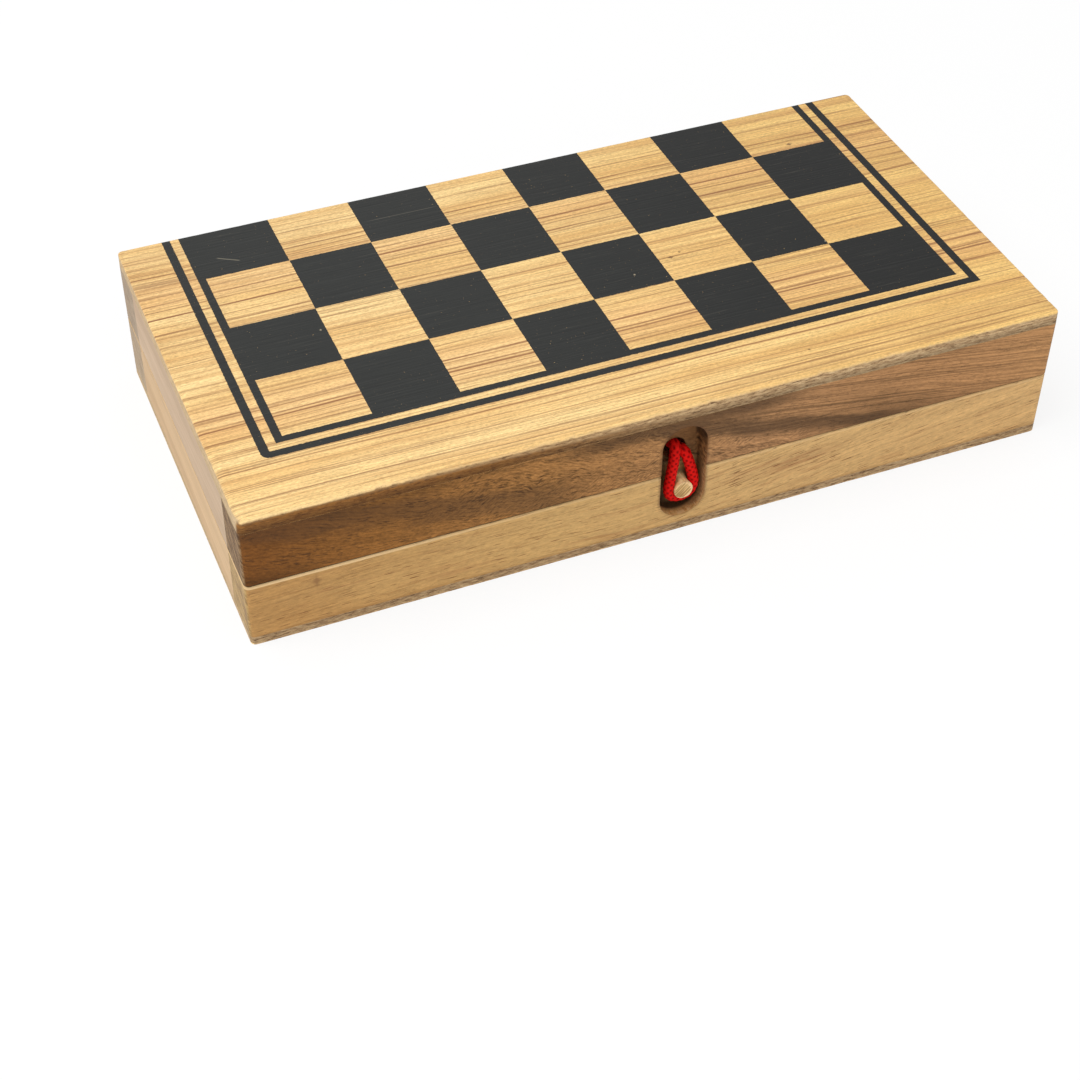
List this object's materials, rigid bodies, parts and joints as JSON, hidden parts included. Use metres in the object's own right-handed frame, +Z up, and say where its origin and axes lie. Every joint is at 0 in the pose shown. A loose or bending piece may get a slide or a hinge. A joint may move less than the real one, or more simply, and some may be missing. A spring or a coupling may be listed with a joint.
{
  "type": "chess box with hinged lid",
  "caption": "Wooden folding chess box with a half board on each outer face, an elastic loop latch on a peg, and a felt-lined lift-out tray of turned chessmen.",
  "frame": {"origin": "middle of the underside of the closed box, on the plane it stands on", "axes": "+X along the long edge, to the right seen from the latch side; -Y out of the latch side and +Y out of the hinge side; +Z up out of the lid's playing face"},
  "size_m": [0.2508, 0.1335, 0.0455],
  "materials": {
    "board_veneer": "yellow-brown veneered plywood, fine reddish streaks, black printed squares and border, worn edges",
    "lid_wood": "mid-brown figured hardwood, open pores, thin satin finish",
    "base_wood": "yellow-tan hardwood with short dark pores, thin satin finish",
    "peg_wood": "pale dowel, sanded end grain",
    "tray_wood": "yellow-tan hardwood, greyer on the outer faces",
    "tray_plywood": "raw plywood, dark worn edge",
    "felt_red": "matte short-nap felt",
    "cord_red": "braided elastic, slightly shiny",
    "hinge_brass": "plain rolled sheet, slightly dulled",
    "screw_brass": "bright countersunk heads",
    "pin_steel": "drawn wire",
    "light_men_wood": "turned pale close-grained wood, satin",
    "dark_men_wood": "turned dark brown streaked wood, satin"
  },
  "bodies": {
    "base": {"base_front_wall": "base_wood", "base_back_wall": "base_wood", "base_left_wall": "base_wood", "base_right_wall": "base_wood", "base_panel": "board_veneer", "latch_peg": "peg_wood", "hinge_left_base_leaf": "hinge_brass", "hinge_right_base_leaf": "hinge_brass", "hinge_left_pin": "pin_steel", "hinge_right_pin": "pin_steel", "base_hinge_screws": "screw_brass"},
    "lid": {"lid_front_wall": "lid_wood", "lid_back_wall": "lid_wood", "lid_left_wall": "lid_wood", "lid_right_wall": "lid_wood", "lid_panel": "board_veneer", "loop_knot": "cord_red", "hinge_left_lid_leaf": "hinge_brass", "hinge_right_lid_leaf": "hinge_brass", "lid_hinge_screws": "screw_brass"},
    "loop": {"latch_loop": "cord_red"},
    "tray": {"tray_front_wall": "tray_wood", "tray_back_wall": "tray_wood", "tray_left_wall": "tray_wood", "tray_right_wall": "tray_wood", "tray_bottom": "tray_plywood", "tray_felt": "felt_red", "light_king": "light_men_wood", "light_queen": "light_men_wood", "light_bishop_1": "light_men_wood", "light_bishop_2": "light_men_wood", "light_rook_1": "light_men_wood", "light_rook_2": "light_men_wood", "light_knight_1": "light_men_wood", "light_knight_2": "light_men_wood", "light_pawns": "light_men_wood", "dark_king": "dark_men_wood", "dark_queen": "dark_men_wood", "dark_bishop_1": "dark_men_wood", "dark_bishop_2": "dark_men_wood", "dark_rook_1": "dark_men_wood", "dark_rook_2": "dark_men_wood", "dark_knight_1": "dark_men_wood", "dark_knight_2": "dark_men_wood", "dark_pawns": "dark_men_wood"}
  },
  "joints": [
    {"name": "lid_hinge", "type": "hinge", "parent": "base", "child": "lid", "pos_m": [0, 0.0659, 0.02198], "axis": [-1, 0, 0], "range_deg": [0, 180], "deforming": ["latch_loop"]},
    {"name": "loop_swing", "type": "hinge", "parent": "lid", "child": "loop", "pos_m": [0.0039, -0.0598, 0.0265], "axis": [-1, 0, 0], "range_deg": [0, 75], "deforming": ["latch_loop"]},
    {"name": "tray_lift", "type": "slide", "parent": "base", "child": "tray", "axis": [0, 0, 1], "range_m": [0, 0.0095]}
  ]
}
